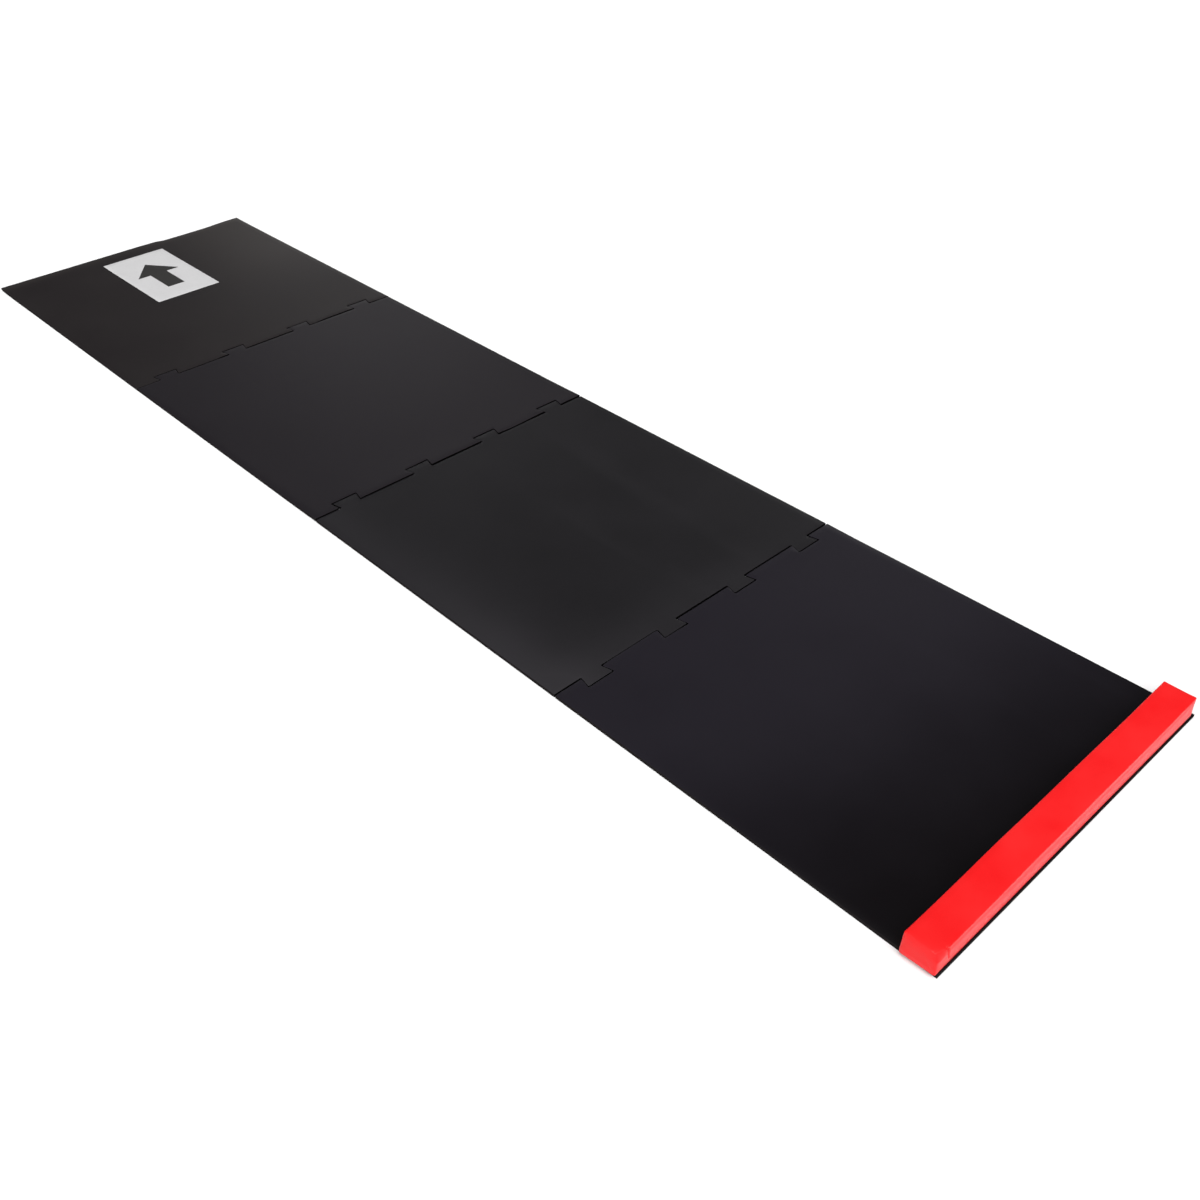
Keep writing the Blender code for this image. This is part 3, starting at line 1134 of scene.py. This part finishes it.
# %% Window and wall
HOOK_LEFT, HOOK_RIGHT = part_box("hook_strip_left"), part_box("hook_strip_right")
CLEARANCE = Vector((0.0018, 0.0018, 0))


def pick_foot(height, low=None, high=None):
    """Selects the faces of the flat foot under a height, all of them or those in a rectangle."""
    def test(face):
        spot = middle(face)
        inside = low is None or (low.x < spot.x < high.x and low.y < spot.y < high.y)
        return face.normal.z < -0.9 and spot.z < height and inside
    pick("faces", test)


def outline(height, low, high):
    """Cuts the four sides of a rectangle into the foot."""
    for spot, normal in (((low.x, 0, 0), (1, 0, 0)), ((high.x, 0, 0), (1, 0, 0)),
                         ((0, low.y, 0), (0, 1, 0)), ((0, high.y, 0), (0, 1, 0))):
        pick_foot(height)
        bpy.ops.mesh.bisect(plane_co=spot, plane_no=normal)


window = (FOOT + 0.0004, HOOK_LEFT[0] - CLEARANCE, HOOK_RIGHT[1] + CLEARANCE)
bpy.ops.object.mode_set(mode="EDIT")
outline(*window)
pick_foot(*window)
bpy.ops.mesh.delete(type="FACE")
bpy.ops.object.mode_set(mode="OBJECT")
wall = cover.modifiers.new("wall", "SOLIDIFY")
wall.thickness = COVER_SKIN
wall.offset = -1
wall.use_even_offset = False
bpy.ops.object.modifier_apply(modifier="wall")
shade_smooth(55)
print("cover has", len(cover.data.polygons), "faces with its wall")

# %% [markdown]
# ## Red vinyl
#
# The cover is a coated cloth: a bright red, glossy skin with a fine leather grain. The grain is
# cells with soft valleys between them. Gloss comes from a low roughness, which is a little
# higher where hands and feet have worn it. The red is darkened a touch in the valleys as painted shade.

# %% Vinyl finish
red = Finish("red_vinyl", Specular_IOR_Level=0.20)
red_cells = red.node("ShaderNodeTexVoronoi", {"feature": "DISTANCE_TO_EDGE"},
                     {"Vector": red.place(), "Scale": 620.0}, "Distance")
red_valleys = red.ramp(red_cells, [(0.0, 0.0), (0.22, 1.0)])
red_cloud = red.cloud(12.0, 4.0)
red_wear = red.ramp(red.cloud(60.0, 5.0), [(0.55, 0.0), (0.85, 1.0)])
red_deep = red.blend(red.ramp(red_cloud, [(0.35, 0.0), (0.65, 1.0)]),
                     rgb(0.835, 0.010, 0.012), rgb(0.880, 0.020, 0.021))
# Painted shade: the red darkens a touch in the grain's valleys.
red.drive("Base Color", red.blend(0.10 * (1 - red_valleys), red_deep, rgb(0.45, 0.006, 0.006)))
red.drive("Roughness", (0.33 + 0.06 * red_cloud + 0.08 * red_wear).clamped())
red.bump(red_valleys * 0.7 + red.cloud(900.0, 2.0) * 0.3, 0.00006, 0.25)
cover.data.materials.clear()
cover.data.materials.append(red.material)
finished(cover, "block", "block_cover")

# %% [markdown]
# ## The foam bar
#
# Inside is the foam, seen only from below, through the window. It is the copy of the cover's
# shape, with a slit wider and a little deeper than the vinyl's, shrunk by the vinyl's thickness
# and a hair's gap. Its foot is flat, and has a shallow pocket over each fastener strip.

# %% Foam shape
CORE_FOOT = CORE_BOX[0].z
POCKET_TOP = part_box("loop_strip_left")[1].z + SKIN_GAP
SHRINK = COVER_SKIN + SKIN_GAP + 0.0003
FOAM_SLIT_HALF_WIDTH, FOAM_SLIT_DEPTH = 2.6 * SLIT_HALF_WIDTH, 0.0046
FOOT_PLAY = 0.0006

only(foam)
shape_vinyl(foam, FOAM_SLIT_HALF_WIDTH, FOAM_SLIT_DEPTH)
bpy.ops.object.mode_set(mode="EDIT")
bpy.ops.mesh.select_all(action="SELECT")
bpy.ops.transform.shrink_fatten(value=-SHRINK)
pockets = []
for side in ("left", "right"):
    strip_low, strip_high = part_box("loop_strip_" + side)
    pockets.append((FOOT + 0.003, strip_low - CLEARANCE, strip_high + CLEARANCE))
for pocket in pockets:
    outline(*pocket)
for pocket in pockets:
    pick_foot(*pocket)
    extrude(0, 0, POCKET_TOP - CORE_FOOT)
bpy.ops.object.mode_set(mode="OBJECT")
for vert in foam.data.vertices:
    if vert.co.z < CORE_FOOT + FOOT_PLAY:
        vert.co.z = CORE_FOOT
shade_smooth(50)
print("foam has", len(foam.data.polygons), "faces")

# %% [markdown]
# Cut foam is open cells: small pits in a pale cream, darkened in the colour as painted shade,
# quite matt, with slow clouds of yellowing.

# %% Foam finish
cream = Finish("foam", Roughness=0.95, Specular_IOR_Level=0.15)
cream_cells = cream.node("ShaderNodeTexVoronoi", {"feature": "F1"},
                         {"Vector": cream.place(), "Scale": 700.0}, "Distance")
cream_cloud = cream.cloud(30.0, 3.0)
cream_tone = cream.blend(cream_cloud, rgb(0.62, 0.56, 0.42), rgb(0.72, 0.67, 0.54))
# Painted shade: the cream darkens in the pits of the cells.
cream.drive("Base Color", cream.blend(cream.ramp(cream_cells, [(0.0, 0.35), (0.5, 0.0)]),
                                      cream_tone, rgb(0.28, 0.24, 0.17)))
cream.bump(cream_cells, 0.0005, 0.5)
foam.data.materials.clear()
foam.data.materials.append(cream.material)
finished(foam, "block", "block_core")

# %% [markdown]
# ## Fastener strips
#
# Two hook strips are stuck to the near tile, and two loop strips face them from the foam's
# pockets. Each strip is a woven tape with a plain selvedge along its sides and a field of pile
# between. The selvedge is the inset border of the tape's face, pressed a little lower than the
# pile.

# %% Strip shape
SELVEDGE = 0.0016
PILE = 0.00035


def strip(name, node, upwards):
    """A fastener tape with its pile facing up or down."""
    low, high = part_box(node)
    pile_top, rise = (high.z, PILE) if upwards else (low.z, -PILE)
    tape = begin_box(name, low, high)
    pick("edges", upright)
    round_edges(0.003, 4)
    pick("faces", lambda face: level(face, pile_top))
    slide(0, 0, -rise)
    bpy.ops.mesh.inset(thickness=SELVEDGE)
    bpy.ops.mesh.inset(thickness=0.0002)
    slide(0, 0, rise)
    slice_sheet(low, high)
    shade_smooth(40)
    paint(tape, "pile", lambda co: 1.0 if abs(co.z - pile_top) < FLAT else 0.0)
    return tape


# %% [markdown]
# Both kinds of tape are black nylon. The pile is a field of small tufts, coarse for hooks and
# fine for loops, and the selvedge shows its weave as low ribs. The painted number says which is
# which. The colour is lighter on the tops of the tufts and ribs and darker between them: painted
# highlight and shade that follow the relief.

# %% Strip finishes


def strip_finish(name, scale, height):
    """Black tape. scale sets how many hooks or loops there are to a metre."""
    finish = Finish(name, Specular_IOR_Level=0.25)
    pile = finish.painted("pile")
    tufts = finish.node("ShaderNodeTexVoronoi", {"feature": "F1"},
                        {"Vector": finish.stretched((1.0, 1.35, 0.2)), "Scale": scale}, "Distance")
    tuft_top = finish.ramp(tufts, [(0.0, 1.0), (0.55, 0.0)])
    weave = finish.node("ShaderNodeTexWave", {"bands_direction": "Y"},
                        {"Vector": finish.place(), "Scale": 190.0, "Distortion": 0.6,
                         "Detail": 1.0}, "Fac")
    relief = pile * tuft_top + (1 - pile) * (0.4 * weave)
    # Painted highlight and shade: lighter where the relief is high, darker where it is low.
    finish.drive("Base Color", finish.blend(relief, rgb(0.006, 0.006, 0.007),
                                            rgb(0.045, 0.045, 0.048)))
    finish.drive("Roughness", (0.55 + 0.35 * (1 - relief)).clamped())
    finish.bump(relief, height, 0.7)
    return finish.material


HOOKS = strip_finish("hook_tape", 640.0, 0.0005)
LOOPS = strip_finish("loop_tape", 1100.0, 0.0004)
for side in ("left", "right"):
    hook = strip("hook_tape_" + side, "hook_strip_" + side, True)
    hook.data.materials.append(HOOKS)
    finished(hook, "near_tile", "hook_strip_" + side)
    loop = strip("loop_tape_" + side, "loop_strip_" + side, False)
    loop.data.materials.append(LOOPS)
    finished(loop, "block", "loop_strip_" + side)

# %% Compare the boxes
DRESSED_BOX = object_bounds()
sizes = {"cad": [list(corner) for corner in CAD_BOX], "visual": [list(corner) for corner in DRESSED_BOX]}
for name, corners in sizes.items():
    print(name, "box in mm:", [[round(1000 * place, 1) for place in corner] for corner in corners])
